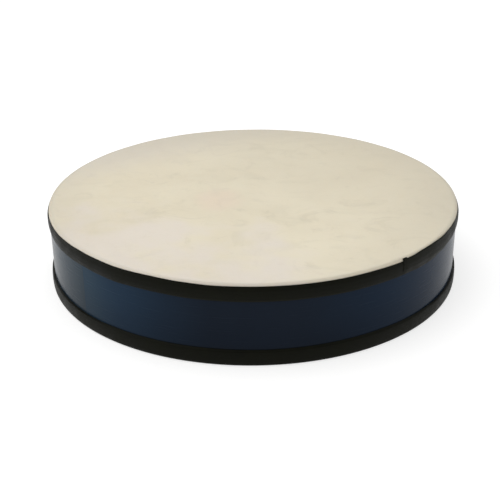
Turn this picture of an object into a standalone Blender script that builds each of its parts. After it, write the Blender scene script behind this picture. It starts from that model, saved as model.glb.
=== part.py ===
"""Bodhran: a 16 inch pre-tuned frame drum with a hide head, a wrapped plywood shell, taped rims and a wooden cross.

Metres, +Z up. The drum lies on its open back, head up. The origin is the centre of the back rim, on the plane it rests on.
Angles called "theta" run from the front (-Y) towards the right (+X).
"""

import math

import bmesh
import bpy
from mathutils import Matrix, Vector

for old in list(bpy.data.objects):
    bpy.data.objects.remove(old, do_unlink=True)

MM = 0.001

# ---------------------------------------------------------------- driving dimensions (mm)
SEG = 72  # facets of every ring, all aligned
GAP = 0.3  # clearance kept between touching pieces

SHELL_R = 202.7  # outside of the plywood hoop (16 inch nominal over the wrap)
SHELL_T = 7.0
SHELL_Z0 = 0.8
SHELL_DEPTH = 75.6  # 3 inch nominal
SHELL_Z1 = SHELL_Z0 + SHELL_DEPTH
BEARING_R = 1.8  # outer rounding of the bearing edge
SCARF_ARC = 17.0  # degrees of glued overlap where the hoop closes
SCARF_THETA = 196.0

WRAP_R0, WRAP_R1 = 203.0, 203.5  # laminate wrap
WRAP_Z0, WRAP_Z1 = 1.4, 64.4  # it ends under the head tape, below the skirt
WRAP_SEAM_THETA = -49.0

SKIN_T = 0.8
SKIN_Z1 = SHELL_Z1 + GAP + SKIN_T  # playing surface
SKIRT_R0, SKIRT_R1 = 203.0, 203.7
SKIRT_Z0 = 64.9

TACKS = 24
TACK_Z = 69.0
TACK_HEAD_R = 3.0
TACK_SHANK_R = 0.7

TAPE_T = 0.45
HEAD_TAPE_R = 204.7  # inside of the tape where it runs over the tack heads
BACK_TAPE_R = 205.25  # and where it runs over the back hoop
TAPE_ON_WRAP_R = 203.8
HEAD_TAPE_LOW, HEAD_TAPE_HIGH = 62.1, 76.5
HEAD_TAPE_START = 54.0  # theta of the end that lies underneath
HEAD_TAPE_LAP = 14.0  # degrees that the outer end laps over it
HEAD_TAPE_RISE = 1.3  # the outer end was laid this much higher
BACK_TAPE_HIGH = 15.3
BACK_TAPE_START = 158.0
BACK_TAPE_LAP = 9.0
BACK_TAPE_FOLD_R = 202.0  # the tape folds under the back edge to here

HOOP_R0, HOOP_R1 = 203.75, 205.0
HOOP_Z0, HOOP_Z1 = 0.8, 12.8
HOOP_SEAM_THETA = 122.0

BAR_W, BAR_T = 22.0, 14.0
BAR_Z0 = 3.0
BAR_HALF = 195.0  # half length: the bars fit between the shell's inner walls
BAR_ROUND = 3.0
BAR_SCREW_Z = BAR_Z0 + BAR_T / 2
SCREW_HEAD_R, SCREW_R = 3.9, 1.8
SCREW_LEN = 26.0
SCREW_SEAT_R = 202.2  # tops of the heads, just below the shell's surface
CENTRE_SCREW_LEN = 12.0

MID = math.cos(math.pi / SEG)  # radius of a facet's middle over that of its corners

# ---------------------------------------------------------------- collections, materials
drum = bpy.data.collections.new("bodhran")
cutters = bpy.data.collections.new("cutters")
for c in (drum, cutters):
    bpy.context.scene.collection.children.link(c)
cutters.hide_render = True


def material(name, colour, roughness, metallic=0.0):
    m = bpy.data.materials.new(name)
    m.use_nodes = True
    b = m.node_tree.nodes["Principled BSDF"]
    b.inputs["Base Color"].default_value = (*colour, 1.0)
    b.inputs["Roughness"].default_value = roughness
    b.inputs["Metallic"].default_value = metallic
    m.diffuse_color = (*colour, 1.0)
    return m


MAT = {
    "plywood": material("plywood", (0.62, 0.42, 0.24), 0.55),
    "wrap": material("blue_laminate", (0.010, 0.028, 0.075), 0.16),
    "hide": material("natural_hide", (0.74, 0.68, 0.55), 0.72),
    "tape": material("black_cloth_tape", (0.010, 0.010, 0.008), 0.62),
    "tack": material("blued_steel", (0.20, 0.20, 0.21), 0.40, 1.0),
    "hoop": material("bent_ash_strip", (0.60, 0.43, 0.26), 0.60),
    "bar": material("beech_bar", (0.66, 0.43, 0.23), 0.48),
    "screw": material("zinc_steel", (0.62, 0.60, 0.55), 0.32, 1.0),
}


def show(obj, mat):
    obj.data.materials.append(MAT[mat])
    drum.objects.link(obj)
    return obj


def as_cutter(obj):
    obj.hide_render = True
    obj.display_type = "WIRE"
    cutters.objects.link(obj)
    return obj


def smooth(mesh, angle=35):
    mesh.shade_smooth()
    mesh.set_sharp_from_angle(angle=math.radians(angle))


def cut(obj, cutter, name, operation="DIFFERENCE"):
    m = obj.modifiers.new(name, "BOOLEAN")
    m.operation = operation
    m.solver = "EXACT"
    m.object = cutter
    return m


# ---------------------------------------------------------------- turned shapes
def turned_mesh(name, points, closed):
    """A profile of (r, z) millimetre points at +X, running down its outer side."""
    mesh = bpy.data.meshes.new(name)
    edges = [(i, i + 1) for i in range(len(points) - 1)]
    if closed:
        edges.append((len(points) - 1, 0))
    mesh.from_pydata([(r * MM, 0.0, z * MM) for r, z in points], edges, [])
    return mesh


def turned(name, points, closed, steps=SEG):
    obj = bpy.data.objects.new(name, turned_mesh(name, points, closed))
    s = obj.modifiers.new("turn", "SCREW")
    s.axis = "Z"
    s.angle = math.tau
    s.steps = s.render_steps = steps
    s.use_merge_vertices = True
    s.merge_threshold = 0.00005
    s.use_smooth_shade = True
    return obj


def arc(cr, cz, rr, rz, start, end, count):
    """Points on an ellipse about (cr, cz), angles in degrees from +r towards +z."""
    out = []
    for i in range(count + 1):
        a = math.radians(start + (end - start) * i / count)
        out.append((cr + rr * math.cos(a), cz + rz * math.sin(a)))
    return out


def at(theta, r, z=0.0):
    a = math.radians(theta)
    return Vector((r * math.sin(a) * MM, -r * math.cos(a) * MM, z * MM))


def radial(theta):
    """Turns local +Z to point outwards along theta, and local +Y up."""
    a = math.radians(theta)
    out = Vector((math.sin(a), -math.cos(a), 0.0))
    up = Vector((0.0, 0.0, 1.0))
    side = up.cross(out)
    return Matrix((side, up, out)).transposed().to_4x4()


# ---------------------------------------------------------------- cutters
def cylinder_into(bm, radius, depth, matrix, sides=8, radius2=None):
    """A closed cone or cylinder added to bm: matrix puts its middle and its axis."""
    made = bmesh.ops.create_cone(
        bm,
        cap_ends=True,
        cap_tris=False,
        segments=sides,
        radius1=radius * MM,
        radius2=(radius if radius2 is None else radius2) * MM,
        depth=depth * MM,
    )
    bmesh.ops.transform(bm, matrix=matrix, verts=made["verts"])


def box_into(bm, size, matrix):
    made = bmesh.ops.create_cube(bm, size=1.0)
    bmesh.ops.scale(bm, vec=[s * MM for s in size], verts=made["verts"])
    bmesh.ops.transform(bm, matrix=matrix, verts=made["verts"])


def cutter_from(name, bm):
    mesh = bpy.data.meshes.new(name)
    bm.to_mesh(mesh)
    bm.free()
    return as_cutter(bpy.data.objects.new(name, mesh))


TACK_THETAS = [7.5 + 360.0 / TACKS * k for k in range(TACKS)]
SCREW_THETAS = [0.0, 90.0, 180.0, 270.0]

bm = bmesh.new()
for t in TACK_THETAS:
    # from just outside the skirt to 4 mm deep in the plywood
    cylinder_into(
        bm,
        TACK_SHANK_R + GAP,
        10.0,
        Matrix.Translation(at(t, 202.0, TACK_Z)) @ radial(t),
        sides=8,
    )
tack_holes = cutter_from("cut_tack_holes", bm)

bm = bmesh.new()
for t in SCREW_THETAS:
    cylinder_into(
        bm, SCREW_R + GAP, 60.0, Matrix.Translation(at(t, 199.0, BAR_SCREW_Z)) @ radial(t), 12
    )
screw_bores = cutter_from("cut_screw_bores", bm)

bm = bmesh.new()
for t in SCREW_THETAS:
    # countersink: 45 degrees, widest past the outside, so that it breaks the surface cleanly
    cylinder_into(
        bm,
        SCREW_R + GAP,
        6.0,
        Matrix.Translation(at(t, SCREW_SEAT_R + 0.3, BAR_SCREW_Z)) @ radial(t),
        16,
        radius2=SCREW_R + GAP + 6.0,
    )
countersinks = cutter_from("cut_countersinks", bm)

# The scarf: a thin spiral slit from the inside of the hoop to the outside.
outline = []
STEPS = 16
for side in (-1, 1):
    for i in range(STEPS + 1):
        k = i / STEPS if side < 0 else 1 - i / STEPS
        theta = SCARF_THETA + SCARF_ARC * (k - 0.5) * 1.12
        r = SHELL_R - SHELL_T / 2 + (SHELL_T + 1.2) * (k - 0.5) + side * GAP / 2
        p = at(theta, r)
        outline.append((p.x, p.y, 0.0, 1.0))
curve = bpy.data.curves.new("scarf_outline", "CURVE")
curve.dimensions = "2D"
curve.fill_mode = "BOTH"
curve.extrude = 60 * MM
spline = curve.splines.new("POLY")
spline.points.add(len(outline) - 1)
for p, co in zip(spline.points, outline):
    p.co = co
spline.use_cyclic_u = True
flat = bpy.data.objects.new("scarf_outline", curve)
flat.location.z = 40 * MM
bpy.context.scene.collection.objects.link(flat)
bpy.context.view_layer.update()
mesh = bpy.data.meshes.new_from_object(flat.evaluated_get(bpy.context.evaluated_depsgraph_get()))
bm = bmesh.new()
bm.from_mesh(mesh)
bmesh.ops.remove_doubles(bm, verts=bm.verts, dist=1e-6)
bmesh.ops.recalc_face_normals(bm, faces=bm.faces)
bm.to_mesh(mesh)
bm.free()
scarf = bpy.data.objects.new("cut_scarf", mesh)
scarf.matrix_world = flat.matrix_world.copy()
bpy.data.objects.remove(flat, do_unlink=True)
as_cutter(scarf)


def slit(name, theta, r, width):
    bm = bmesh.new()
    box_into(bm, (width, 200.0, 12.0), Matrix.Translation(at(theta, r, 38.0)) @ radial(theta))
    return cutter_from(name, bm)


# ---------------------------------------------------------------- shell_hoop
ri = SHELL_R - SHELL_T
cr, cz = SHELL_R - BEARING_R, SHELL_Z1 - BEARING_R
profile = (
    [(ri, SHELL_Z1 - 3.2), (ri + 2.6, SHELL_Z1 - 0.3), (ri + 3.4, SHELL_Z1)]
    + arc(cr, cz, BEARING_R, BEARING_R, 90, 0, 4)
    + [(SHELL_R, SHELL_Z0 + 0.5), (SHELL_R - 0.5, SHELL_Z0), (ri + 0.8, SHELL_Z0), (ri, SHELL_Z0 + 0.8)]
)
shell = show(turned("shell_hoop", profile, True), "plywood")
cut(shell, scarf, "scarf")
cut(shell, tack_holes, "tack_holes")
cut(shell, screw_bores, "screw_bores")
cut(shell, countersinks, "countersinks")

# ---------------------------------------------------------------- shell_wrap
profile = [(WRAP_R0, WRAP_Z1), (WRAP_R1, WRAP_Z1), (WRAP_R1, WRAP_Z0), (WRAP_R0, WRAP_Z0)]
wrap = show(turned("shell_wrap", profile, True), "wrap")
cut(wrap, slit("cut_wrap_seam", WRAP_SEAM_THETA, (WRAP_R0 + WRAP_R1) / 2, 0.4), "seam")
cut(wrap, tack_holes, "tack_holes")
cut(wrap, countersinks, "countersinks")

# ---------------------------------------------------------------- head_skin
# Flat over the opening, round the bearing edge, and down the outside as a skirt.
outer = [(0.0, SKIN_Z1), (120.0, SKIN_Z1)]
outer += arc(cr, cz, SKIRT_R1 - cr, SKIN_Z1 - cz, 90, 0, 5)
outer += [(SKIRT_R1, SKIRT_Z0), (SKIRT_R0, SKIRT_Z0)]
inner = arc(cr, cz, SKIRT_R0 - cr, SKIN_Z1 - SKIN_T - cz, 0, 90, 5)
inner += [(120.0, SKIN_Z1 - SKIN_T), (0.0, SKIN_Z1 - SKIN_T)]
skin = show(turned("head_skin", outer + inner, False), "hide")
cut(skin, tack_holes, "tack_holes")

# ---------------------------------------------------------------- head tacks
tack_profile = [
    (0.0, 0.60),
    (1.5, 0.53),
    (2.6, 0.33),
    (TACK_HEAD_R, 0.10),
    (TACK_HEAD_R - 0.1, 0.0),
    (TACK_SHANK_R, 0.0),
    (TACK_SHANK_R * 0.9, -4.2),
    (0.0, -6.0),
]
tack_seat = SKIRT_R1 * MID + 0.2  # underside of the heads, on the facets' middles
for k, t in enumerate(TACK_THETAS):
    tack = turned(f"head_tack_{k + 1:02d}", tack_profile, False, steps=10)
    tack.matrix_world = Matrix.Translation(at(t, tack_seat, TACK_Z)) @ radial(t)
    show(tack, "tack")


# ---------------------------------------------------------------- the two tapes
def smoothstep(x, a, b):
    k = min(1.0, max(0.0, (x - a) / (b - a)))
    return k * k * (3 - 2 * k)


def strip(name, start, lap, section, mat):
    """A strip laid round the drum from theta = start, leftwards, until it laps over its own start.

    section(t) gives the (r, z) outline of the strip t degrees along it. The outline changes along
    the strip, so this is a loft: quads between neighbouring sections and a face on each end.
    """
    ts = sorted(
        {float(t) for t in range(0, 361) if (start - t) % 5 == 0}
        | {0.0, 360.0, 360.0 + lap}
        | {360.0 - 2.0 * i for i in range(1, 6)}
        | {360.0 + lap * i / 4 for i in range(5)}
        | {lap * i / 4 for i in range(1, 5)}
    )
    bm = bmesh.new()
    rings = []
    for t in ts:
        theta = start - t
        # a point between two multiples of 5 degrees lies on the flat facet, as its neighbours do
        off = (theta % 5.0) - 2.5
        shrink = MID / math.cos(math.radians(off))
        rings.append([bm.verts.new(at(theta, r * shrink, z)) for r, z in section(t)])
    for a, b in zip(rings, rings[1:]):
        n = len(a)
        for i in range(n):
            j = (i + 1) % n
            bm.faces.new((a[i], a[j], b[j], b[i]))
    bm.faces.new(rings[0])
    bm.faces.new(list(reversed(rings[-1])))
    bmesh.ops.recalc_face_normals(bm, faces=bm.faces)
    mesh = bpy.data.meshes.new(name)
    bm.to_mesh(mesh)
    bm.free()
    smooth(mesh)
    return show(bpy.data.objects.new(name, mesh), mat)


LIFT = TAPE_T + GAP


def lift_at(t):
    return LIFT * smoothstep(t, 351.5, 358.5)


def head_section(t):
    lift = lift_at(t)
    # hand laid: low round the left and the back, rising into the lap
    dz = (
        -1.2 * smoothstep(t, 84, 128) * (1 - smoothstep(t, 150, 205))
        - 0.7 * smoothstep(t, 175, 215) * (1 - smoothstep(t, 255, 300))
        + HEAD_TAPE_RISE * smoothstep(t, 290, 352)
    )
    low, high = HEAD_TAPE_LOW + dz, HEAD_TAPE_HIGH + dz
    face = [
        (HEAD_TAPE_R - 0.9, high),
        (HEAD_TAPE_R, high - 2.5),
        (HEAD_TAPE_R, low + 3.9),
        (HEAD_TAPE_R - 0.5, low + 2.1),
        (TAPE_ON_WRAP_R, low),
    ]
    inner_side = [(r + lift, z) for r, z in face]
    outer_side = [(r + lift + TAPE_T, z) for r, z in face]
    return inner_side + outer_side[::-1]


strip("head_tape", HEAD_TAPE_START, HEAD_TAPE_LAP, head_section, "tape")


def back_section(t):
    lift = lift_at(t)
    under = 1.0 - smoothstep(t, 349.5, 351.5)  # the lapping end is trimmed before the fold
    fold = BACK_TAPE_FOLD_R + (BACK_TAPE_R - 0.4 - BACK_TAPE_FOLD_R) * (1 - under)
    inner_side = [
        (TAPE_ON_WRAP_R + lift, BACK_TAPE_HIGH),
        (BACK_TAPE_R + lift, 13.1),
        (BACK_TAPE_R + lift, 1.3),
        (BACK_TAPE_R - 0.45 + lift, TAPE_T + 0.02),
        (fold + lift, TAPE_T),
    ]
    outer_side = [
        (TAPE_ON_WRAP_R + lift + TAPE_T, BACK_TAPE_HIGH),
        (BACK_TAPE_R + lift + TAPE_T, 13.3),
        (BACK_TAPE_R + lift + TAPE_T, 0.75),
        (BACK_TAPE_R + lift - 0.2, 0.0),
        (fold + lift, 0.0),
    ]
    return inner_side + outer_side[::-1]


strip("back_tape", BACK_TAPE_START, BACK_TAPE_LAP, back_section, "tape")

# ---------------------------------------------------------------- back_hoop
profile = [
    (HOOP_R0, HOOP_Z1),
    (HOOP_R1 - 0.4, HOOP_Z1),
    (HOOP_R1, HOOP_Z1 - 0.4),
    (HOOP_R1, HOOP_Z0 + 0.5),
    (HOOP_R1 - 0.5, HOOP_Z0),
    (HOOP_R0, HOOP_Z0),
]
hoop = show(turned("back_hoop", profile, True), "hoop")
cut(hoop, slit("cut_hoop_seam", HOOP_SEAM_THETA, (HOOP_R0 + HOOP_R1) / 2, 0.5), "seam")


# ---------------------------------------------------------------- crossbars
def bar(name, along_x):
    bpy.ops.mesh.primitive_cube_add(size=1.0)
    obj = bpy.context.active_object
    obj.name = obj.data.name = name
    for c in list(obj.users_collection):
        c.objects.unlink(obj)
    size = (2 * BAR_HALF, BAR_W, BAR_T) if along_x else (BAR_W, 2 * BAR_HALF, BAR_T)
    obj.data.transform(Matrix.Diagonal([s * MM for s in size] + [1.0]))
    obj.location = (0, 0, (BAR_Z0 + BAR_T / 2) * MM)
    b = obj.modifiers.new("rounded_edges", "BEVEL")
    b.width = BAR_ROUND * MM
    b.segments = 3
    b.limit_method = "WEIGHT"
    weights = obj.data.attributes.new("bevel_weight_edge", "FLOAT", "EDGE")
    axis = 0 if along_x else 1
    for e in obj.data.edges:
        a, c = (obj.data.vertices[i].co for i in e.vertices)
        weights.data[e.index].value = 1.0 if abs(a[axis] - c[axis]) > 0.1 else 0.0
    return show(obj, "bar")


MIDPLANE = BAR_Z0 + BAR_T / 2
lower = bar("crossbar_lower", True)
upper = bar("crossbar_upper", False)
# Half-lap joint: the lower bar keeps its back half at the crossing, the upper bar its front half.
bm = bmesh.new()
box_into(bm, (BAR_W + 2 * GAP, 40.0, 20.0), Matrix.Translation((0, 0, (MIDPLANE - GAP / 2 + 10.0) * MM)))
cut(lower, cutter_from("cut_lap_lower", bm), "half_lap")
bm = bmesh.new()
box_into(bm, (40.0, BAR_W + 2 * GAP, 20.0), Matrix.Translation((0, 0, (MIDPLANE + GAP / 2 - 10.0) * MM)))
cut(upper, cutter_from("cut_lap_upper", bm), "half_lap")
for b in (lower, upper):
    cut(b, screw_bores, "screw_bores")

# the hole for the screw that holds the half-lap, from the back
bm = bmesh.new()
cylinder_into(bm, SCREW_R + GAP, 12.6 + 10.0, Matrix.Translation((0, 0, (BAR_Z0 + 12.6 / 2 - 5.0) * MM)), 12)
centre_bore = cutter_from("cut_centre_bore", bm)
bm = bmesh.new()
cylinder_into(
    bm,
    SCREW_R + GAP + 6.0,
    6.0,
    Matrix.Translation((0, 0, BAR_Z0 * MM)),
    16,
    radius2=SCREW_R + GAP,
)
centre_sink = cutter_from("cut_centre_sink", bm)
cut(lower, centre_bore, "centre_bore")
cut(lower, centre_sink, "centre_sink")
cut(upper, centre_bore, "centre_bore")


# ---------------------------------------------------------------- screws
def screw(name, length, matrix):
    """Countersunk wood screw: local +Z points out of the head."""
    profile = [
        (0.0, 0.0),
        (SCREW_HEAD_R - 0.2, 0.0),
        (SCREW_HEAD_R, -0.3),
        (SCREW_R, -2.5),
        (SCREW_R, -length + 4.0),
        (0.0, -length),
    ]
    obj = turned(name, profile, False, steps=12)
    # a cross recess, tapering inwards: one closed prism
    a, b = 2.0, 0.42
    plan = [(a, -b), (a, b), (b, b), (b, a), (-b, a), (-b, b), (-a, b), (-a, -b), (-b, -b), (-b, -a), (b, -a), (b, -b)]
    bm = bmesh.new()
    levels = []
    for z, k in ((-1.35, 0.78), (0.9, 1.08)):
        levels.append(
            [
                bm.verts.new(matrix @ Matrix.Rotation(math.radians(22), 4, "Z") @ Vector((x * k * MM, y * k * MM, z * MM)))
                for x, y in plan
            ]
        )
    for i in range(12):
        j = (i + 1) % 12
        bm.faces.new((levels[0][i], levels[0][j], levels[1][j], levels[1][i]))
    bm.faces.new(list(reversed(levels[0])))
    bm.faces.new(levels[1])
    bmesh.ops.recalc_face_normals(bm, faces=bm.faces)
    recess = cutter_from("cut_recess_" + name, bm)
    obj.matrix_world = matrix
    show(obj, "screw")
    cut(obj, recess, "recess")
    return obj


SCREW_NAMES = {0.0: "front", 90.0: "right", 180.0: "back", 270.0: "left"}
for t in SCREW_THETAS:
    screw(
        f"crossbar_screw_{SCREW_NAMES[t]}",
        SCREW_LEN,
        Matrix.Translation(at(t, SCREW_SEAT_R, BAR_SCREW_Z)) @ radial(t),
    )
screw(
    "centre_screw",
    CENTRE_SCREW_LEN,
    Matrix.Translation((0, 0, (BAR_Z0 + 0.25) * MM)) @ Matrix.Rotation(math.pi, 4, "X"),
)
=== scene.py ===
import math

import bmesh
import bpy
from mathutils import Matrix, Vector, noise


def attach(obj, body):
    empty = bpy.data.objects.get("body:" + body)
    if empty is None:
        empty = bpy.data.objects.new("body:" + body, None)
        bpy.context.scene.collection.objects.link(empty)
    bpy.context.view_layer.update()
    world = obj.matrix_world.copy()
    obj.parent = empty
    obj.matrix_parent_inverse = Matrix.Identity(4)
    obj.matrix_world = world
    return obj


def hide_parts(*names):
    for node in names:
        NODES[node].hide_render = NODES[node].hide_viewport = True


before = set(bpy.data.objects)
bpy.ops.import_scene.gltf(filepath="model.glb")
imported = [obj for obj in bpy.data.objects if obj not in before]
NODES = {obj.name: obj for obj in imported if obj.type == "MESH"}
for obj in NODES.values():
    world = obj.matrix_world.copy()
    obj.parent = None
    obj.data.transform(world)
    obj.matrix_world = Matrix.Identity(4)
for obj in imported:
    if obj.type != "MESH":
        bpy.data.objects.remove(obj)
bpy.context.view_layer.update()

MM = 0.001

# Shared sizes of the CAD pieces, in millimetres
SHELL_R, SHELL_T, SHELL_Z0, SHELL_Z1 = 202.7, 7.0, 0.8, 76.4
SKIN_Z1, SKIN_T = 77.5, 0.8
SKIRT_R0, SKIRT_R1, SKIRT_Z0 = 203.0, 203.7, 64.9
TAPE_T, HEAD_TAPE_R, BACK_TAPE_R, TAPE_ON_WRAP_R = 0.45, 204.7, 205.25, 203.66
BEARING_R = 1.8
TACK_Z = 69.0
TACK_THETAS = [7.5 + 15.0 * k for k in range(24)]
BAR_W, BAR_T, BAR_Z0, BAR_HALF = 22.0, 14.0, 3.0, 195.0
SCREW_Z = BAR_Z0 + BAR_T / 2
SEAM = -49.0
GAP = 0.3


# ------------------------------------------------------------------ helpers
def link(obj):
    bpy.context.scene.collection.objects.link(obj)
    return obj


def at(theta, r, z=0.0):
    """theta in degrees from the front (-Y) towards +X; r and z in millimetres."""
    a = math.radians(theta)
    return Vector((r * math.sin(a) * MM, -r * math.cos(a) * MM, z * MM))


def radial(theta):
    a = math.radians(theta)
    out = Vector((math.sin(a), -math.cos(a), 0.0))
    up = Vector((0.0, 0.0, 1.0))
    side = up.cross(out)
    return Matrix((side, up, out)).transposed().to_4x4()


def smoothstep(x, a, b):
    k = min(1.0, max(0.0, (x - a) / (b - a)))
    return k * k * (3 - 2 * k)


def course(x, *stops):
    """Smooth curve through (position, value) stops, flat at both ends."""
    if x <= stops[0][0]:
        return stops[0][1]
    for (a, va), (b, vb) in zip(stops, stops[1:]):
        if x <= b:
            return va + (vb - va) * smoothstep(x, a, b)
    return stops[-1][1]


def wave(theta, seed, scale=1.0):
    """Smooth noise round the drum that closes on itself, about -1 to 1."""
    a = math.radians(theta)
    return noise.noise(Vector((math.cos(a) * scale + seed * 7.31, math.sin(a) * scale - seed * 3.17, seed * 1.7)))


def arc(cr, cz, rr, rz, start, end, count):
    out = []
    for i in range(count + 1):
        a = math.radians(start + (end - start) * i / count)
        out.append((cr + rr * math.cos(a), cz + rz * math.sin(a)))
    return out


def finish_mesh(obj, angle=38):
    obj.data.shade_smooth()
    obj.data.set_sharp_from_angle(angle=math.radians(angle))
    return obj


def lathe(name, profile, segments, shape=None):
    """Turns a profile of (r, z) points about the axis. A point with r = 0 closes on the axis.
    Where neither end is on the axis the profile is a closed loop."""
    bm = bmesh.new()
    rings = []
    for i, (r, z) in enumerate(profile):
        if r == 0:
            rings.append([bm.verts.new((0, 0, z * MM))])
            continue
        ring = []
        for k in range(segments):
            theta = 360.0 * k / segments
            rr, zz = shape(theta, r, z, i) if shape else (r, z)
            ring.append(bm.verts.new(at(theta, rr, zz)))
        rings.append(ring)
    loop = profile[0][0] != 0
    pairs = list(zip(rings, rings[1:])) + ([(rings[-1], rings[0])] if loop else [])
    for a, b in pairs:
        for k in range(segments):
            j = (k + 1) % segments
            if len(a) == 1:
                bm.faces.new((a[0], b[k], b[j]))
            elif len(b) == 1:
                bm.faces.new((a[k], b[0], a[j]))
            else:
                bm.faces.new((a[k], b[k], b[j], a[j]))
    bmesh.ops.recalc_face_normals(bm, faces=bm.faces)
    mesh = bpy.data.meshes.new(name)
    bm.to_mesh(mesh)
    bm.free()
    return link(bpy.data.objects.new(name, mesh))


def strip(name, start, lap, section, step=1.0):
    """A strip laid leftwards round the drum from theta = start until it laps over its own start."""
    total = 360.0 + lap
    count = int((total - 3.0) / step)
    stations = [(total - 3.0) * i / count for i in range(count)] + [total - 3.0 + 0.1 * i for i in range(31)]
    bm = bmesh.new()
    rings = []
    for t in stations:
        rings.append([bm.verts.new(at(start - t + dt, r, z)) for r, z, dt in section(t)])
    for a, b in zip(rings, rings[1:]):
        n = len(a)
        for i in range(n):
            j = (i + 1) % n
            bm.faces.new((a[i], a[j], b[j], b[i]))
    for ring in (rings[0], rings[-1]):
        # ends: quads from the inner run of points to the outer run
        n = len(ring)
        for i in range(n // 2 - 1):
            bm.faces.new((ring[i], ring[i + 1], ring[n - 2 - i], ring[n - 1 - i]))
    bmesh.ops.recalc_face_normals(bm, faces=bm.faces)
    mesh = bpy.data.meshes.new(name)
    bm.to_mesh(mesh)
    bm.free()
    return link(bpy.data.objects.new(name, mesh))


def box_mesh(bm, size, matrix):
    made = bmesh.ops.create_cube(bm, size=1.0)
    bmesh.ops.scale(bm, vec=[s * MM for s in size], verts=made["verts"])
    bmesh.ops.transform(bm, matrix=matrix, verts=made["verts"])
    return made["verts"]


def cone_mesh(bm, r1, r2, depth, matrix, sides=32):
    made = bmesh.ops.create_cone(
        bm, cap_ends=True, segments=sides, radius1=r1 * MM, radius2=r2 * MM, depth=depth * MM
    )
    bmesh.ops.transform(bm, matrix=matrix, verts=made["verts"])


def temp(name, bm):
    mesh = bpy.data.meshes.new(name)
    bm.to_mesh(mesh)
    bm.free()
    return link(bpy.data.objects.new(name, mesh))


def carve(obj, cutter):
    """Takes cutter out of obj for good, and removes cutter."""
    m = obj.modifiers.new("carve", "BOOLEAN")
    m.operation, m.solver, m.object = "DIFFERENCE", "EXACT", cutter
    apply_modifiers(obj)
    bpy.data.objects.remove(cutter, do_unlink=True)


def apply_modifiers(obj):
    bpy.context.view_layer.update()
    mesh = bpy.data.meshes.new_from_object(obj.evaluated_get(bpy.context.evaluated_depsgraph_get()))
    obj.modifiers.clear()
    old = obj.data
    obj.data = mesh
    mesh.name = obj.name
    bpy.data.meshes.remove(old)


def place(obj, mat, slot, *nodes):
    obj.data.materials.clear()
    obj.data.materials.append(mat)
    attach(obj, "root")
    if nodes:
        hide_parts(*nodes)
    return obj


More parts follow.
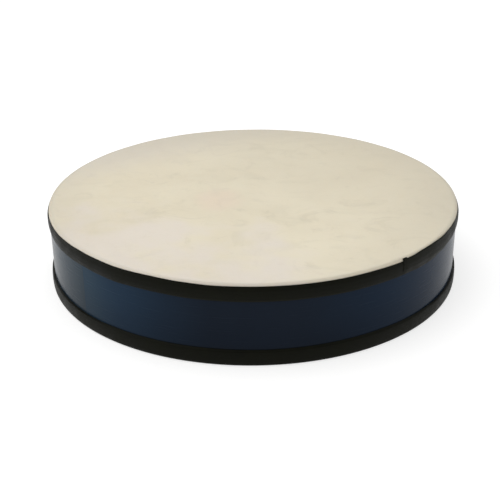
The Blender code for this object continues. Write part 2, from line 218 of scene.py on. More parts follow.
# ------------------------------------------------------------------ material nodes
class Paint:
    """A node material: short helpers that add one node each and return its output."""

    def __init__(self, name):
        self.m = bpy.data.materials.new(name)
        self.m.use_nodes = True
        self.t = self.m.node_tree
        self.b = self.t.nodes["Principled BSDF"]

    def node(self, kind, **props):
        n = self.t.nodes.new(kind)
        for k, v in props.items():
            setattr(n, k, v)
        return n

    def feed(self, socket, value):
        if isinstance(value, bpy.types.NodeSocket):
            self.t.links.new(value, socket)
        else:
            socket.default_value = value

    def coords(self):
        return self.node("ShaderNodeTexCoord").outputs["Object"]

    def math(self, op, a, b=None, c=None, clamp=False):
        n = self.node("ShaderNodeMath", operation=op, use_clamp=clamp)
        self.feed(n.inputs[0], a)
        if b is not None:
            self.feed(n.inputs[1], b)
        if c is not None:
            self.feed(n.inputs[2], c)
        return n.outputs[0]

    def split(self, v):
        n = self.node("ShaderNodeSeparateXYZ")
        self.feed(n.inputs[0], v)
        return n.outputs

    def join(self, x, y, z):
        n = self.node("ShaderNodeCombineXYZ")
        for s, v in zip(n.inputs, (x, y, z)):
            self.feed(s, v)
        return n.outputs[0]

    def around(self):
        """(arc length round the drum, height, radius), all in metres."""
        x, y, z = self.split(self.coords())
        ang = self.math("ARCTAN2", x, self.math("MULTIPLY", y, -1.0))
        r = self.math("SQRT", self.math("ADD", self.math("MULTIPLY", x, x), self.math("MULTIPLY", y, y)))
        return self.math("MULTIPLY", ang, 0.2045), z, r

    def stretch(self, v, scale):
        n = self.node("ShaderNodeMapping")
        self.feed(n.inputs["Vector"], v)
        n.inputs["Scale"].default_value = scale
        return n.outputs[0]

    def noise(self, v, scale, detail=4.0, rough=0.55, distortion=0.0):
        n = self.node("ShaderNodeTexNoise")
        self.feed(n.inputs["Vector"], v)
        n.inputs["Scale"].default_value = scale
        n.inputs["Detail"].default_value = detail
        n.inputs["Roughness"].default_value = rough
        n.inputs["Distortion"].default_value = distortion
        return n.outputs["Fac"]

    def cells(self, v, scale, feature="F1", randomness=1.0):
        n = self.node("ShaderNodeTexVoronoi", feature=feature)
        self.feed(n.inputs["Vector"], v)
        n.inputs["Scale"].default_value = scale
        n.inputs["Randomness"].default_value = randomness
        return n.outputs["Distance"]

    def band(self, v, low, high, to_low=0.0, to_high=1.0):
        n = self.node("ShaderNodeMapRange", interpolation_type="SMOOTHSTEP")
        self.feed(n.inputs["Value"], v)
        n.inputs["From Min"].default_value = low
        n.inputs["From Max"].default_value = high
        n.inputs["To Min"].default_value = to_low
        n.inputs["To Max"].default_value = to_high
        return n.outputs["Result"]

    def ramp(self, v, *stops):
        n = self.node("ShaderNodeValToRGB")
        els = n.color_ramp.elements
        while len(els) < len(stops):
            els.new(0.5)
        for e, (pos, col) in zip(els, stops):
            e.position = pos
            e.color = (*col, 1.0)
        self.feed(n.inputs["Fac"], v)
        return n.outputs["Color"]

    def mix(self, fac, a, b, blend="MIX"):
        n = self.node("ShaderNodeMix", data_type="RGBA", blend_type=blend)
        self.feed(n.inputs[0], fac)
        self.feed(n.inputs[6], a if isinstance(a, bpy.types.NodeSocket) else (*a, 1.0))
        self.feed(n.inputs[7], b if isinstance(b, bpy.types.NodeSocket) else (*b, 1.0))
        return n.outputs[2]

    def colour(self, v):
        self.feed(self.b.inputs["Base Color"], v)

    def rough(self, v):
        self.feed(self.b.inputs["Roughness"], v)

    def bump(self, *layers):
        """layers of (height, strength, distance in metres), from the coarsest to the finest."""
        last = None
        for height, strength, distance in layers:
            n = self.node("ShaderNodeBump")
            n.inputs["Strength"].default_value = strength
            n.inputs["Distance"].default_value = distance
            self.feed(n.inputs["Height"], height)
            if last is not None:
                self.feed(n.inputs["Normal"], last)
            last = n.outputs["Normal"]
        self.feed(self.b.inputs["Normal"], last)

    def set(self, **values):
        for k, v in values.items():
            self.b.inputs[k.replace("_", " ")].default_value = v
        return self


# ------------------------------------------------------------------ materials
def make_hide(name):
    p = Paint(name)
    v = p.coords()
    x, y, z = p.split(v)
    r = p.math("SQRT", p.math("ADD", p.math("MULTIPLY", x, x), p.math("MULTIPLY", y, y)))
    clouds = p.noise(v, 8.0, 4.0, 0.5, 0.6)
    smear = p.noise(v, 24.0, 7.0, 0.62, 1.6)
    mottle = p.noise(v, 70.0, 6.0, 0.62, 0.8)
    fibre = p.noise(p.stretch(v, (1.0, 2.4, 1.0)), 420.0, 5.0, 0.6, 0.5)
    pores = p.cells(v, 900.0)
    col = p.ramp(
        clouds,
        (0.30, (0.668, 0.602, 0.464)),
        (0.52, (0.708, 0.645, 0.502)),
        (0.72, (0.735, 0.674, 0.530)),
    )
    # soft greyer smears that run across the hide, and small pale spots where it is thin
    col = p.mix(p.band(smear, 0.52, 0.70, 0.0, 0.50), col, (0.575, 0.520, 0.405))
    wide = p.noise(p.stretch(v, (1.0, 1.9, 1.0)), 15.0, 5.0, 0.58, 1.2)
    col = p.mix(p.band(wide, 0.52, 0.66, 0.0, 0.28), col, (0.590, 0.538, 0.412))
    col = p.mix(p.band(mottle, 0.50, 0.72, 0.0, 0.35), col, (0.725, 0.668, 0.540))
    # a small warmer patch left of the middle
    dx = p.math("DIVIDE", p.math("ADD", x, 0.034), 0.022)
    dy = p.math("DIVIDE", p.math("ADD", y, 0.020), 0.028)
    patch = p.math("ADD", p.math("MULTIPLY", dx, dx), p.math("MULTIPLY", dy, dy))
    patch = p.math("ADD", patch, p.math("MULTIPLY", smear, 1.0))
    col = p.mix(p.band(patch, 2.2, 0.6, 0.0, 0.55), col, (0.715, 0.595, 0.480))
    # painted light: towards the front left the hide is a little cooler and paler
    painted_light_front_left = p.math("ADD", p.math("MULTIPLY", x, -0.45), p.math("MULTIPLY", y, -0.80))
    painted_light_front_left = p.math("ADD", painted_light_front_left, p.math("MULTIPLY", p.noise(v, 19.0, 2.0, 0.5), 0.36))
    col = p.mix(p.band(painted_light_front_left, 0.25, 0.36, 0.0, 0.80), col, (0.702, 0.640, 0.570))
    # painted shade: cooler again along the back left
    painted_shade_back_left = p.math("ADD", p.math("MULTIPLY", x, -0.50), p.math("MULTIPLY", y, 0.86))
    painted_shade_back_left = p.math("ADD", painted_shade_back_left, p.math("MULTIPLY", smear, 0.04))
    col = p.mix(p.band(painted_shade_back_left, 0.12, 0.20, 0.0, 0.75), col, (0.640, 0.592, 0.520))
    # painted shade: towards the back right the hide is a little darker
    side = p.math("ADD", p.math("MULTIPLY", x, 0.52), p.math("MULTIPLY", y, 0.80))
    side = p.math("ADD", side, p.math("MULTIPLY", smear, 0.05))
    col = p.mix(p.band(side, -0.04, 0.19, 0.0, 0.56), col, (0.562, 0.512, 0.400))
    # painted shade: a little darker down the right
    painted_shade_right = p.math("ADD", p.math("ADD", x, p.math("MULTIPLY", y, -0.25)), p.math("MULTIPLY", smear, 0.03))
    painted_shade_right = p.math("MULTIPLY", p.band(painted_shade_right, 0.10, 0.20), p.band(y, 0.07, -0.04, 0.0, 0.36))
    col = p.mix(painted_shade_right, col, (0.562, 0.512, 0.400))
    # painted shade: darker lines where a few fine creases run
    fold = p.noise(p.stretch(v, (1.0, 3.2, 1.0)), 13.0, 3.0, 0.5, 2.2)
    fold = p.band(p.math("ABSOLUTE", p.math("SUBTRACT", fold, 0.5)), 0.0, 0.010, 0.12, 0.0)
    col = p.mix(fold, col, (0.53, 0.46, 0.34))
    col = p.mix(p.band(pores, 0.10, 0.32, 0.20, 0.0), col, (0.56, 0.49, 0.37))
    col = p.mix(p.band(fibre, 0.55, 0.75, 0.0, 0.24), col, (0.74, 0.69, 0.57))
    # painted shade: the hide darkens towards its edge, where it rolls over the bearing edge, more towards the back
    painted_edge_shade = p.math("ADD", r, p.math("MULTIPLY", smear, 0.006))
    painted_edge_shade = p.math("MULTIPLY", p.band(painted_edge_shade, 0.145, 0.207), p.band(y, -0.17, -0.02, 0.05, 0.34))
    col = p.mix(painted_edge_shade, col, (0.52, 0.475, 0.39))
    # painted shade: a dark band on the rolled edge of the hide, stronger at the back
    painted_roll_shade = p.band(p.math("ADD", r, p.math("MULTIPLY", mottle, 0.002)), 0.1995, 0.2045, 0.0, 1.0)
    painted_roll_shade = p.math("MULTIPLY", painted_roll_shade, p.band(y, -0.12, 0.10, 0.22, 0.60))
    col = p.mix(painted_roll_shade, col, (0.38, 0.345, 0.285))
    p.colour(col)
    p.rough(p.band(mottle, 0.3, 0.7, 0.60, 0.74))
    p.bump((clouds, 0.15, 0.0012), (smear, 0.16, 0.0008), (mottle, 0.18, 0.0005), (fibre, 0.20, 0.0002), (pores, 0.12, 0.00012))
    p.set(Specular_IOR_Level=0.25, Subsurface_Weight=0.10, Subsurface_Scale=0.004)
    p.b.inputs["Subsurface Radius"].default_value = (1.0, 0.72, 0.45)
    return p.m


def make_tape(name, z_low, z_high):
    p = Paint(name)
    u, z, r = p.around()
    v = p.coords()
    # woven backing, 0.55 mm pitch, under a thin polyethylene coat
    k = math.tau / 0.00055
    warp = p.math("SINE", p.math("MULTIPLY", u, k))
    weft = p.math("SINE", p.math("MULTIPLY", z, k))
    weave = p.math("MULTIPLY", warp, weft)
    scuff = p.noise(v, 55.0, 6.0, 0.6, 0.6)
    streak = p.noise(p.join(p.math("MULTIPLY", u, 14.0), p.math("MULTIPLY", z, 260.0), r), 1.0, 5.0, 0.6)
    crease = p.noise(p.join(p.math("MULTIPLY", u, 60.0), p.math("MULTIPLY", z, 22.0), r), 1.0, 3.0, 0.5)
    col = p.ramp(scuff, (0.35, (0.0028, 0.0031, 0.0012)), (0.70, (0.0050, 0.0054, 0.0023)))
    col = p.mix(p.band(streak, 0.60, 0.80, 0.0, 0.30), col, (0.009, 0.009, 0.006))
    # edges pick up dust and rub
    mid, half = (z_low + z_high) / 2 * MM, (z_high - z_low) / 2 * MM
    edge = p.math("ABSOLUTE", p.math("SUBTRACT", z, mid))
    edge = p.math("ADD", edge, p.math("MULTIPLY", scuff, 0.0012))
    col = p.mix(p.band(edge, half - 0.0006, half + 0.0008, 0.0, 0.30), col, (0.012, 0.012, 0.008))
    p.colour(col)
    p.rough(p.band(scuff, 0.3, 0.7, 0.42, 0.56))
    p.bump((crease, 0.25, 0.0006), (scuff, 0.12, 0.0003), (weave, 0.35, 0.00006))
    p.set(Specular_IOR_Level=0.065)
    return p.m


def make_wrap():
    p = Paint("blue_laminate")
    u, z, r = p.around()
    v = p.coords()
    cloud = p.noise(v, 11.0, 4.0, 0.5, 0.3)
    peel = p.noise(p.join(u, z, 0.0), 260.0, 2.0, 0.4)
    fine = p.noise(p.join(p.math("MULTIPLY", u, 25.0), p.math("MULTIPLY", z, 700.0), r), 1.0, 6.0, 0.62)
    col = p.ramp(cloud, (0.30, (0.0056, 0.0096, 0.0176)), (0.70, (0.0066, 0.0117, 0.0212)))
    # partly the sheet's own dye, which changes sharply at the seam, and partly painted light: the sheet is painted
    # lighter towards both sides than at its front, with a stronger blue beside the seam at its left end, greyer on
    # its other end, a little stronger again on the right
    arc_at = lambda deg: math.radians(deg) * 0.2045
    wander = p.math("ADD", u, p.math("MULTIPLY", p.math("SUBTRACT", cloud, 0.5), 0.05))
    seam_dye_and_left_light = p.math("MULTIPLY", p.band(wander, arc_at(-9), arc_at(-42)), p.band(u, arc_at(-49.3), arc_at(-48.8)))
    col = p.mix(seam_dye_and_left_light, col, (0.0100, 0.0262, 0.0510))
    near = p.math("MULTIPLY", p.band(wander, arc_at(-34), arc_at(-46)), p.band(u, arc_at(-49.3), arc_at(-48.8)))
    col = p.mix(near, col, (0.0125, 0.0325, 0.0550))
    past_seam_dye_and_light = p.math("MULTIPLY", p.band(u, arc_at(-48.8), arc_at(-49.3)), p.band(wander, arc_at(-104), arc_at(-54)))
    col = p.mix(past_seam_dye_and_light, col, (0.0190, 0.0335, 0.0470))
    # painted light: a little stronger, lighter blue on the right side
    right = p.math("MULTIPLY", p.band(wander, arc_at(9), arc_at(42)), p.band(wander, arc_at(110), arc_at(70)))
    col = p.mix(right, col, (0.0056, 0.0150, 0.0320))
    # painted shade: a touch deeper and darker towards the foot
    col = p.mix(p.band(z, 0.052, 0.018, 0.0, 0.30), col, (0.0018, 0.0045, 0.0100))
    col = p.mix(p.band(fine, 0.66, 0.80, 0.0, 0.20), col, (0.010, 0.019, 0.032))
    # dust kept in the corner along each tape
    low = p.band(p.math("ADD", z, p.math("MULTIPLY", cloud, 0.0012)), 0.0160, 0.0175, 0.22, 0.0)
    col = p.mix(low, col, (0.012, 0.015, 0.020))
    p.colour(col)
    p.rough(p.band(fine, 0.45, 0.80, 0.22, 0.34))
    p.bump((cloud, 0.10, 0.0010), (peel, 0.05, 0.00008))
    p.set(Specular_IOR_Level=0.055)
    return p.m


def make_ply():
    p = Paint("plywood")
    u, z, r = p.around()
    v = p.coords()
    # grain of the face veneer runs round the hoop
    run = p.join(p.math("MULTIPLY", u, 6.0), p.math("MULTIPLY", z, 130.0), 0.0)
    grain = p.noise(run, 1.0, 6.0, 0.58, 0.6)
    fibre = p.noise(p.join(p.math("MULTIPLY", u, 55.0), p.math("MULTIPLY", z, 1500.0), 0.0), 1.0, 4.0, 0.6)
    tone = p.noise(v, 7.0, 3.0, 0.5)
    face = p.ramp(
        grain, (0.32, (0.430, 0.265, 0.130)), (0.50, (0.560, 0.375, 0.205)), (0.68, (0.640, 0.455, 0.270))
    )
    face = p.mix(p.band(fibre, 0.56, 0.74, 0.0, 0.45), face, (0.36, 0.215, 0.105))
    face = p.mix(p.band(tone, 0.35, 0.65, 0.0, 0.35), face, (0.50, 0.325, 0.175))
    # the edge shows the plies: 1.4 mm each, alternately long grain and end grain, with glue lines
    ply = p.math("DIVIDE", p.math("SUBTRACT", r, 0.1957), 0.0014)
    ply = p.math("ADD", ply, p.math("MULTIPLY", p.noise(p.join(p.math("MULTIPLY", u, 30.0), r, 0.0), 1.0, 3.0), 0.08))
    odd = p.math("MODULO", p.math("ADD", ply, 40.0), 2.0)
    edge = p.mix(p.band(odd, 0.97, 1.03), (0.585, 0.400, 0.225), (0.375, 0.225, 0.115))
    pores = p.noise(p.join(p.math("MULTIPLY", u, 900.0), p.math("MULTIPLY", r, 1400.0), 0.0), 1.0, 3.0, 0.6)
    edge = p.mix(p.band(pores, 0.55, 0.75, 0.0, 0.5), edge, (0.26, 0.15, 0.075))
    glue = p.math("ABSOLUTE", p.math("SUBTRACT", p.math("MODULO", p.math("ADD", ply, 40.5), 1.0), 0.5))
    edge = p.mix(p.band(glue, 0.03, 0.08, 0.8, 0.0), edge, (0.17, 0.095, 0.045))
    nz = p.split(p.node("ShaderNodeNewGeometry").outputs["True Normal"])[2]
    on_edge = p.band(p.math("ABSOLUTE", nz), 0.45, 0.75)
    p.colour(p.mix(on_edge, face, edge))
    p.rough(p.band(grain, 0.3, 0.7, 0.46, 0.62))
    p.bump((grain, 0.16, 0.0003), (fibre, 0.25, 0.0001))
    p.set(Specular_IOR_Level=0.35)
    return p.m


def make_wood(name, along, light, mid, dark, rough=0.42, flecks=True, hole=None):
    """Straight-grained timber; along is the axis (0, 1 or 2) that the grain follows."""
    p = Paint(name)
    v = p.coords()
    scale = [95.0, 95.0, 95.0]
    scale[along] = 4.5
    rings = p.noise(p.stretch(v, scale), 1.0, 6.0, 0.55, 0.9)
    scale = [1500.0, 1500.0, 1500.0]
    scale[along] = 40.0
    fibre = p.noise(p.stretch(v, scale), 1.0, 4.0, 0.6)
    tone = p.noise(v, 10.0, 3.0, 0.5)
    col = p.ramp(rings, (0.32, dark), (0.50, mid), (0.68, light))
    col = p.mix(p.band(fibre, 0.56, 0.76, 0.0, 0.40), col, dark)
    if flecks:
        scale = [620.0, 620.0, 620.0]
        scale[along] = 150.0
        f = p.cells(p.stretch(v, scale), 1.0)
        col = p.mix(p.band(f, 0.10, 0.26, 0.75, 0.0), col, [c * 0.55 for c in dark])
    col = p.mix(p.band(tone, 0.35, 0.70, 0.0, 0.25), col, [c * 0.85 for c in mid])
    p.colour(col)
    p.rough(p.band(rings, 0.3, 0.7, rough, rough + 0.14))
    p.bump((rings, 0.14, 0.0003), (fibre, 0.22, 0.00008))
    p.set(Specular_IOR_Level=0.40, Coat_Weight=0.12, Coat_Roughness=0.30)
    return p.m


def make_steel(name, base, rough, brush=900.0):
    p = Paint(name)
    v = p.coords()
    grime = p.noise(v, 260.0, 5.0, 0.6)
    scratch = p.noise(p.stretch(v, (1.0, 3.0, 1.0)), brush, 4.0, 0.6)
    col = p.ramp(grime, (0.30, [c * 0.72 for c in base]), (0.62, base))
    p.colour(p.mix(p.band(grime, 0.62, 0.80, 0.0, 0.5), col, (0.16, 0.12, 0.08)))
    p.rough(p.band(scratch, 0.3, 0.7, rough, rough + 0.22))
    p.bump((scratch, 0.18, 0.00008))
    p.set(Metallic=1.0)
    return p.m


HIDE = make_hide("goat_hide")
TAPE_HEAD = make_tape("black_cloth_tape", 62.1, 76.3)
TAPE_BACK = make_tape("black_cloth_tape_back", -6.0, 15.3)
WRAP = make_wrap()
PLY = make_ply()
BEECH_X = make_wood("beech_x", 0, (0.66, 0.445, 0.255), (0.565, 0.360, 0.190), (0.440, 0.260, 0.125))
BEECH_Y = make_wood("beech_y", 1, (0.64, 0.430, 0.245), (0.550, 0.350, 0.185), (0.430, 0.255, 0.122))
ASH = make_wood("ash_strip", 0, (0.62, 0.46, 0.29), (0.53, 0.38, 0.22), (0.40, 0.27, 0.14), 0.6, False)
TACK = make_steel("blued_steel", (0.20, 0.20, 0.215), 0.34)
ZINC = make_steel("zinc_steel", (0.62, 0.60, 0.54), 0.28)

# ------------------------------------------------------------------ carried-over CAD nodes
for node_name, obj in NODES.items():
    mat = None
    if node_name.startswith("head_tack_"):
        mat = TACK
    elif node_name.startswith("crossbar_screw_"):
        mat = ZINC
    elif node_name == "back_hoop":
        mat = ASH
    if mat:
        obj.data.materials.clear()
        obj.data.materials.append(mat)

# ------------------------------------------------------------------ head
CR, CZ = SHELL_R - BEARING_R, SHELL_Z1 - BEARING_R  # centre of the bearing edge's rounding


def head_shape(theta, r, z, i):
    """The hide is drawn flat by the tacks: faint scallops between them near the edge, and a hardly
    visible unevenness in its thickness."""
    near = smoothstep(r, 178.0, 203.0)
    over = 1.0 - smoothstep(r, 202.6, 203.3)
    pull = 0.5 - 0.5 * math.cos(math.radians((theta - 7.5) * 24.0))
    dz = -0.10 * pull * near * over
    dz += 0.05 * wave(theta, 3.0, 2.2) * smoothstep(r, 20.0, 150.0) * over
    return r, z + dz


radii = [196.0, 188.0, 176.0, 164.0, 150.0, 134.0, 116.0, 96.0, 74.0, 50.0, 26.0, 8.0]
outer = [(0.0, SKIN_Z1)] + [(q, SKIN_Z1) for q in reversed(radii)] + [(199.0, SKIN_Z1)]
outer += arc(CR, CZ, SKIRT_R1 - CR, SKIN_Z1 - CZ, 90, 0, 14)
outer += [(SKIRT_R1, 71.0), (SKIRT_R1, 68.0), (SKIRT_R1 - 0.05, 65.1), (SKIRT_R1 - 0.4, SKIRT_Z0)]
inner = [(SKIRT_R0 + 0.05, SKIRT_Z0), (SKIRT_R0, 66.5), (SKIRT_R0, 70.0)]
inner += arc(CR, CZ, SKIRT_R0 - CR, SKIN_Z1 - SKIN_T - CZ, 0, 90, 14)
inner += [(199.0, SKIN_Z1 - SKIN_T)] + [(q, SKIN_Z1 - SKIN_T) for q in radii] + [(0.0, SKIN_Z1 - SKIN_T)]
head = lathe("hide_head", outer + inner, 360, head_shape)
bm = bmesh.new()
for t in TACK_THETAS:
    cone_mesh(bm, 1.0, 1.0, 4.0, Matrix.Translation(at(t, 203.4, TACK_Z)) @ radial(t), 12)
carve(head, temp("cut_tacks_a", bm))
finish_mesh(head, 50)
place(head, HIDE, "hide", "head_skin")


# ------------------------------------------------------------------ tapes
def rounded(face, thick):
    """Inner and outer runs of a strip's outline: equal numbers of points, edges softened."""
    inner_run, outer_run = [], []
    n = len(face)
    for i, (r, z) in enumerate(face):
        if i == 0 or i == n - 1:
            inner_run.append((r + 0.13, z))
            outer_run.append((r + thick - 0.13, z))
        else:
            inner_run.append((r, z))
            outer_run.append((r + thick, z))
    return inner_run, outer_run


def over_skirt(z):
    """Inner radius of tape laid on the skirt, the tack heads and the shoulder of the hide above them."""
    if z >= CZ:
        k = min(0.97, (z - CZ) / (SKIN_Z1 - CZ))
        return CR + (SKIRT_R1 - CR) * math.sqrt(1 - k * k) + 0.12
    return HEAD_TAPE_R - (HEAD_TAPE_R - SKIRT_R1 - 0.12) * smoothstep(z, 71.3, CZ)


def head_tape_section(t):
    """The tape runs leftwards from t = 0 at the right of front, and its end laps over its start."""
    theta = 54.0 - t
    lift = course(t, (350.0, 0.0), (358.5, TAPE_T + GAP), (368.0, TAPE_T + 0.04))
    high = course(
        t, (0, -1.0), (8, -1.3), (16, -1.4), (24, -0.8), (34, -0.9), (54, -0.8), (64, -0.8), (72, -0.2), (80, 0.3),
        (90, -0.2), (97, 0.1), (104, 0.2), (110, -0.3), (117, -0.9), (123, -1.3), (132, -2.3), (165, -2.3),
        (195, -1.2), (230, -0.7), (285, -1.2), (305, -2.1), (333, -2.1), (341, -1.3), (348, -0.3), (354, 0.1),
        (361, 0.9), (367, 0.9), (371.2, 0.1),
    )  # fmt: skip
    tab = smoothstep(t, 373.0, 373.4)
    high += 76.25 + 1.15 * tab + 0.20 * wave(theta, 1.0, 3.0) + 0.10 * wave(theta, 2.0, 11.0)
    high -= 0.12 + 0.25 * max(0.0, high - 76.25)
    low = course(
        t, (0, -1.4), (7, -1.6), (13, -1.0), (20, -0.7), (34, -1.0), (56, -1.0), (70, -0.8), (79, 0.0), (84, 0.0),
        (91, -0.6), (96, -0.1), (102, 0.4), (108, -0.3), (117, -0.9), (126, -1.1), (200, -1.1), (230, -0.6),
        (330, -0.6), (344, -0.5), (352, 0.3), (361, 0.6), (374, 0.4),
    )  # fmt: skip
    low += 62.1 + 0.22 * wave(theta, 4.0, 2.6) + 0.14 * wave(theta, 5.0, 9.0)
    # each tack head presses through a little; the laid-down edges are not quite flat
    tack = max(0.0, math.cos(math.radians((theta - 7.5) * 24.0))) ** 6 * (1 - smoothstep(t, 344, 352))
    ripple = 0.04 * wave(theta, 6.0, 26.0)
    start = 1 - smoothstep(t, 0.0, 2.0)
    end = smoothstep(t, 373.4, 374.7)
    rt = HEAD_TAPE_R
    face = [
        (over_skirt(high), high, -0.10 * end),
        (over_skirt(high - 0.35), high - 0.35, -0.09 * end),
        (over_skirt(high - 1.10), high - 1.10, -0.05 * end),
        (over_skirt(high - 2.2), high - 2.2, 0.0),
        (rt, 71.3, 0.0),
        (rt + 0.05 * tack, 70.2, 0.0),
        (rt + 0.14 * tack, TACK_Z, 0.0),
        (rt + 0.05 * tack, 67.8, 0.0),
        (rt, 66.8, 0.0),
        (rt - 0.10, 65.9, 0.0),
        (rt - 0.40, low + 2.6, 0.0),
        (rt - 0.66 + 0.5 * ripple, low + 1.3, 0.03 * end),
        (TAPE_ON_WRAP_R + 0.04 + ripple, low + 0.35, 0.05 * end),
        (TAPE_ON_WRAP_R + ripple, low, 0.06 * end),
    ]
    thick = TAPE_T - 0.16 * end
    ins, outs = rounded([(r + lift, z) for r, z, _ in face], thick)
    dts = [dt - 0.12 * start * (i / 13.0) for i, (_, _, dt) in enumerate(face)]
    pts = [(r, z, dt) for (r, z), dt in zip(ins, dts)]
    pts += [(r, z, dt) for (r, z), dt in zip(reversed(outs), reversed(dts))]
    return pts


tape = strip("rim_tape_head", 54.0, 14.7, head_tape_section, 0.5)
finish_mesh(tape, 42)
place(tape, TAPE_HEAD, "tape", "head_tape")


def back_tape_section(t):
    theta = 158.0 - t
    turn = (theta + 180.0) % 360.0 - 180.0
    lift = course(t, (350.0, 0.0), (358.0, TAPE_T + GAP), (364.0, TAPE_T + 0.10))
    under = 1.0 - smoothstep(t, 349.0, 351.5)
    high = course(
        turn, (-180, -1.0), (-120, -1.6), (-80, -2.0), (-52, -2.0), (-44, -1.6), (-37, -0.8), (-24, -0.6), (0, -0.4),
        (22, -0.2), (32, 0.1), (42, -0.7), (50, -1.2), (56, -2.0), (100, -2.0), (140, -1.4), (180, -1.0),
    )  # fmt: skip
    high = max(13.32, 15.3 + high + 0.26 * wave(theta, 11.0, 2.8) + 0.12 * wave(theta, 12.0, 10.0))
    k = (high - 12.95) / 2.35
    ripple = 0.04 * wave(theta, 13.0, 25.0)
    rt, tk = BACK_TAPE_R, TAPE_T
    fold = 202.0 + 0.35 * wave(theta, 14.0, 4.0) + (rt - 0.4 - 202.0) * (1 - under)
    full = 0.36 + 0.10 * wave(theta, 15.0, 5.0)
    face_in = [
        (TAPE_ON_WRAP_R + 0.10 + ripple, high),
        (TAPE_ON_WRAP_R + 0.02 + ripple, high - 0.30 * k),
        (TAPE_ON_WRAP_R + 0.86, 12.95 + 1.05 * k),
        (rt - 0.18, 12.95 + 0.50 * k),
        (rt, 12.7),
        (rt + 0.8 * full, 9.6),
        (rt + full, 6.4),
        (rt + 0.7 * full, 3.2),
        (rt, 1.3),
        (rt - 0.45, 0.58),
        (rt - 0.9, tk),
        (fold + (rt - 0.9 - fold) * 0.5, tk),
        (fold, tk - 0.13),
    ]
    face_out = [
        (TAPE_ON_WRAP_R + tk - 0.10 + ripple, high),
        (TAPE_ON_WRAP_R + 0.04 + tk + ripple, high - 0.30 * k),
        (TAPE_ON_WRAP_R + 0.86 + tk, 12.95 + 1.05 * k),
        (rt - 0.18 + tk, 12.95 + 0.50 * k),
        (rt + tk, 12.7),
        (rt + tk + 0.8 * full, 9.6),
        (rt + tk + full, 6.4),
        (rt + tk + 0.7 * full, 3.1),
        (rt + tk - 0.02, 1.05),
        (rt + tk - 0.42, 0.28),
        (rt - 0.6, 0.0),
        (fold + (rt - 0.6 - fold) * 0.5, 0.0),
        (fold, 0.13),
    ]
    return [(r + lift, z, 0.0) for r, z in face_in] + [(r + lift, z, 0.0) for r, z in reversed(face_out)]


tape = strip("rim_tape_back", 158.0, 9.0, back_tape_section, 0.75)
finish_mesh(tape, 42)
place(tape, TAPE_BACK, "tape", "back_tape")

# ------------------------------------------------------------------ wrap
bm = bmesh.new()
rings = []
N = 400
for i in range(N + 1):
    theta = SEAM + 0.05 + (360.0 - 0.10) * i / N
    edge = 0.08 * (1 - smoothstep(i, 0, 2)) - 0.10 * smoothstep(i, N - 2, N)
    outline = [
        (203.0, 1.4), (203.0, 20.0), (203.0, 40.0), (203.0, 60.0), (203.0, 64.4),
        (203.5, 64.4), (203.5, 60.0), (203.5, 40.0), (203.5, 20.0), (203.5, 1.4),
    ]  # fmt: skip
    rings.append([bm.verts.new(at(theta, r + (edge if r > 203.2 else 0.0), z)) for r, z in outline])
for a, b in zip(rings, rings[1:]):
    for k in range(10):
        j = (k + 1) % 10
        bm.faces.new((a[k], a[j], b[j], b[k]))
for ring in (rings[0], rings[-1]):
    for k in range(4):
        bm.faces.new((ring[k], ring[k + 1], ring[8 - k], ring[9 - k]))
bmesh.ops.recalc_face_normals(bm, faces=bm.faces)
wrap = temp("laminate_wrap", bm)
bm = bmesh.new()
for t in (0, 90, 180, 270):
    cone_mesh(bm, 3.0, 3.0, 4.0, Matrix.Translation(at(t, 203.2, SCREW_Z)) @ radial(t), 32)
carve(wrap, temp("cut_wrap", bm))
finish_mesh(wrap, 40)
place(wrap, WRAP, "wrap", "shell_wrap")

# ------------------------------------------------------------------ shell
ri = SHELL_R - SHELL_T
profile = [(ri, 60.0), (ri, 73.0), (ri + 0.25, 74.0), (ri + 1.2, 75.5), (ri + 2.4, 76.2), (ri + 3.4, SHELL_Z1)]
profile += arc(CR, CZ, BEARING_R, BEARING_R, 90, 0, 8)
profile += [(SHELL_R, 50.0), (SHELL_R, 25.0), (SHELL_R, 1.4), (SHELL_R - 0.18, 0.98), (SHELL_R - 0.6, SHELL_Z0)]
profile += [(ri + 3.5, SHELL_Z0), (ri + 0.9, SHELL_Z0), (ri + 0.35, 0.95), (ri + 0.08, 1.25), (ri, 1.8), (ri, 20.0), (ri, 40.0)]
shell = lathe("hoop_shell", profile, 360)
bm = bmesh.new()
for t in TACK_THETAS:
    cone_mesh(bm, 1.0, 1.0, 10.0, Matrix.Translation(at(t, 202.0, TACK_Z)) @ radial(t), 12)
for t in (0, 90, 180, 270):
    cone_mesh(bm, 2.1, 2.1, 14.0, Matrix.Translation(at(t, 199.0, SCREW_Z)) @ radial(t), 24)
carve(shell, temp("cut_bores", bm))
bm = bmesh.new()
for t in (0, 90, 180, 270):
    cone_mesh(bm, 2.1, 8.1, 6.0, Matrix.Translation(at(t, 202.5, SCREW_Z)) @ radial(t), 32)
carve(shell, temp("cut_sinks", bm))
# the glued scarf shows inside and on the edge as one fine slanting line
bm = bmesh.new()
levels = []
STEPS = 24
for z in (-5.0, 90.0):
    row = []
    for side in (-1, 1):
        for i in range(STEPS + 1):
            k = i / STEPS if side < 0 else 1 - i / STEPS
            theta = 196.0 + 17.0 * (k - 0.5) * 1.12
            r = SHELL_R - SHELL_T / 2 + (SHELL_T + 1.2) * (k - 0.5) + side * 0.09
            row.append(bm.verts.new(at(theta, r, z)))
    levels.append(row)
n = len(levels[0])
for i in range(n):
    j = (i + 1) % n
    bm.faces.new((levels[0][i], levels[0][j], levels[1][j], levels[1][i]))
for row in levels:
    for i in range(STEPS):
        bm.faces.new((row[i], row[i + 1], row[n - 2 - i], row[n - 1 - i]))
bmesh.ops.recalc_face_normals(bm, faces=bm.faces)
carve(shell, temp("cut_scarf", bm))
finish_mesh(shell, 40)
place(shell, PLY, "plywood", "shell_hoop")


